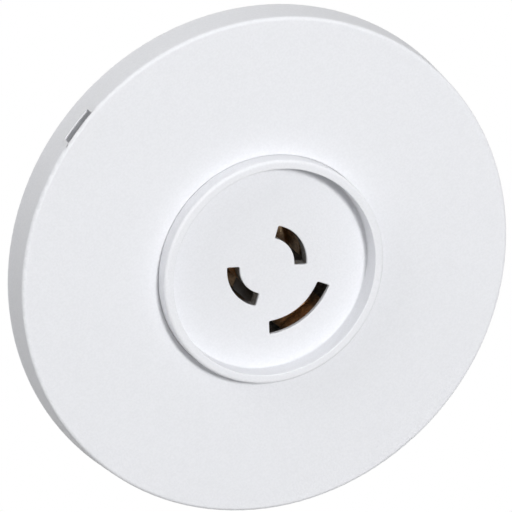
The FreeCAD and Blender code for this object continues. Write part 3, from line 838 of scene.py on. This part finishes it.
def place_camera(scene, settings, target):
    """Camera at the photograph's viewing angle."""
    back = Vector((
        math.sin(settings.azimuth) * math.cos(settings.elevation),
        -math.cos(settings.azimuth) * math.cos(settings.elevation),
        math.sin(settings.elevation),
    ))
    turn = (-back).to_track_quat("-Z", "Y").to_matrix() @ Matrix.Rotation(settings.roll, 3, "Z")
    data = bpy.data.cameras.new("photo_view")
    data.sensor_width = SENSOR_WIDTH
    data.lens = settings.lens
    data.clip_start = NEAREST
    data.clip_end = FARTHEST
    camera = bpy.data.objects.new("photo_view", data)
    eye = target + back * settings.distance - turn.col[0] * settings.aside + turn.col[1] * settings.below
    camera.matrix_world = Matrix.Translation(eye) @ turn.to_4x4()
    scene.collection.objects.link(camera)
    scene.camera = camera


def light_world(scene, settings):
    """Even light from all around, in front of a white background."""
    world = bpy.data.worlds.new("soft_light")
    scene.world = world
    world.use_nodes = True
    nodes = world.node_tree.nodes
    ambient = nodes["Background"]
    ambient.inputs["Color"].default_value = (1, 1, 1, 1)
    ambient.inputs["Strength"].default_value = settings.ambient
    white_behind(world.node_tree, nodes["World Output"], ambient, "Background")


def add_floor(scene, settings):
    """Plain pale floor far below the face."""
    data = bpy.data.meshes.new("floor")
    bm = bmesh.new()
    bmesh.ops.create_grid(bm, x_segments=1, y_segments=1, size=FLOOR_REACH)
    bm.to_mesh(data)
    bm.free()
    floor = bpy.data.objects.new("floor", data)
    floor.location.z = -settings.floor_drop
    scene.collection.objects.link(floor)
    finish = Finish("pale_floor")
    finish.shader.inputs["Base Color"].default_value = (*settings.floor, 1)
    finish.shader.inputs["Roughness"].default_value = FLOOR_ROUGHNESS
    white_behind(finish.material.node_tree, finish.nodes["Material Output"], finish.shader, "BSDF")
    data.materials.append(finish.material)


def add_lamp(scene, name, power, size, azimuth, rise, reach, target):
    """A round lamp that looks at the target from a direction given by two angles."""
    way = Vector((math.cos(rise) * math.cos(azimuth), math.cos(rise) * math.sin(azimuth), math.sin(rise)))
    data = bpy.data.lights.new(name, "AREA")
    data.shape = "DISK"
    data.size = size
    data.energy = power
    lamp = bpy.data.objects.new(name, data)
    lamp.location = target + way * reach
    lamp.rotation_mode = "QUATERNION"
    lamp.rotation_quaternion = (-way).to_track_quat("-Z", "Y")
    scene.collection.objects.link(lamp)


def add_lamps(scene, settings, target):
    add_lamp(
        scene, "key_lamp", settings.key, settings.key_size,
        settings.key_azimuth, -settings.key_drop, settings.reach, target)
    add_lamp(
        scene, "fill_lamp", settings.fill, settings.fill_size,
        settings.fill_azimuth, -settings.fill_drop, settings.reach, target)
    add_lamp(
        scene, "back_lamp", settings.back, settings.back_size,
        settings.back_azimuth, settings.back_rise, settings.reach, target)


class ROSE_OT_stage(Operator):
    """Set up the camera, the floor, the lamps and the white background"""

    bl_idname = "rose.stage"
    bl_label = "Stage"

    def execute(self, context):
        scene = context.scene
        settings = scene.rose_stage
        middle = Vector((0, 0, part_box("cover_disc")[0].z))
        place_camera(scene, settings, middle)
        light_world(scene, settings)
        add_floor(scene, settings)
        add_lamps(scene, settings, middle)
        scene.view_settings.view_transform = "Standard"
        return {"FINISHED"}


# Sidebar and start

class ROSE_PT_panel(Panel):
    """Lists the settings and the steps that dress the ceiling rose"""

    bl_idname = "ROSE_PT_panel"
    bl_label = "Ceiling Rose"
    bl_space_type = "VIEW_3D"
    bl_region_type = "UI"
    bl_category = "Ceiling Rose"

    def draw(self, context):
        layout = self.layout
        for settings in SETTINGS:
            box = layout.box()
            group = getattr(context.scene, settings)
            for name in group.bl_rna.properties.keys():
                if name not in ("rna_type", "name"):
                    box.prop(group, name)
        for operator in OPERATORS:
            layout.operator(operator.bl_idname)


SETTINGS = {
    "rose_mouldings": MouldingSettings,
    "rose_contacts": ContactSettings,
    "rose_terminals": TerminalSettings,
    "rose_stage": StageSettings,
}
OPERATORS = (
    ROSE_OT_white_mouldings,
    ROSE_OT_contact_housing,
    ROSE_OT_contacts,
    ROSE_OT_springs,
    ROSE_OT_terminal_blocks,
    ROSE_OT_clamp_plates,
    ROSE_OT_terminal_screws,
    ROSE_OT_assembly_screws,
    ROSE_OT_stage,
)


def register():
    for group in SETTINGS.values():
        bpy.utils.register_class(group)
    for operator in OPERATORS:
        bpy.utils.register_class(operator)
    bpy.utils.register_class(ROSE_PT_panel)
    for name, group in SETTINGS.items():
        setattr(bpy.types.Scene, name, PointerProperty(type=group))


def unregister():
    for name in SETTINGS:
        delattr(bpy.types.Scene, name)
    bpy.utils.unregister_class(ROSE_PT_panel)
    for operator in reversed(OPERATORS):
        bpy.utils.unregister_class(operator)
    for group in reversed(list(SETTINGS.values())):
        bpy.utils.unregister_class(group)


def main():
    register()
    bpy.ops.rose.white_mouldings()
    bpy.ops.rose.contact_housing()
    bpy.ops.rose.contacts()
    bpy.ops.rose.springs()
    bpy.ops.rose.terminal_blocks()
    bpy.ops.rose.clamp_plates()
    bpy.ops.rose.terminal_screws()
    bpy.ops.rose.assembly_screws()
    bpy.ops.rose.stage()


if __name__ == "__main__":
    main()
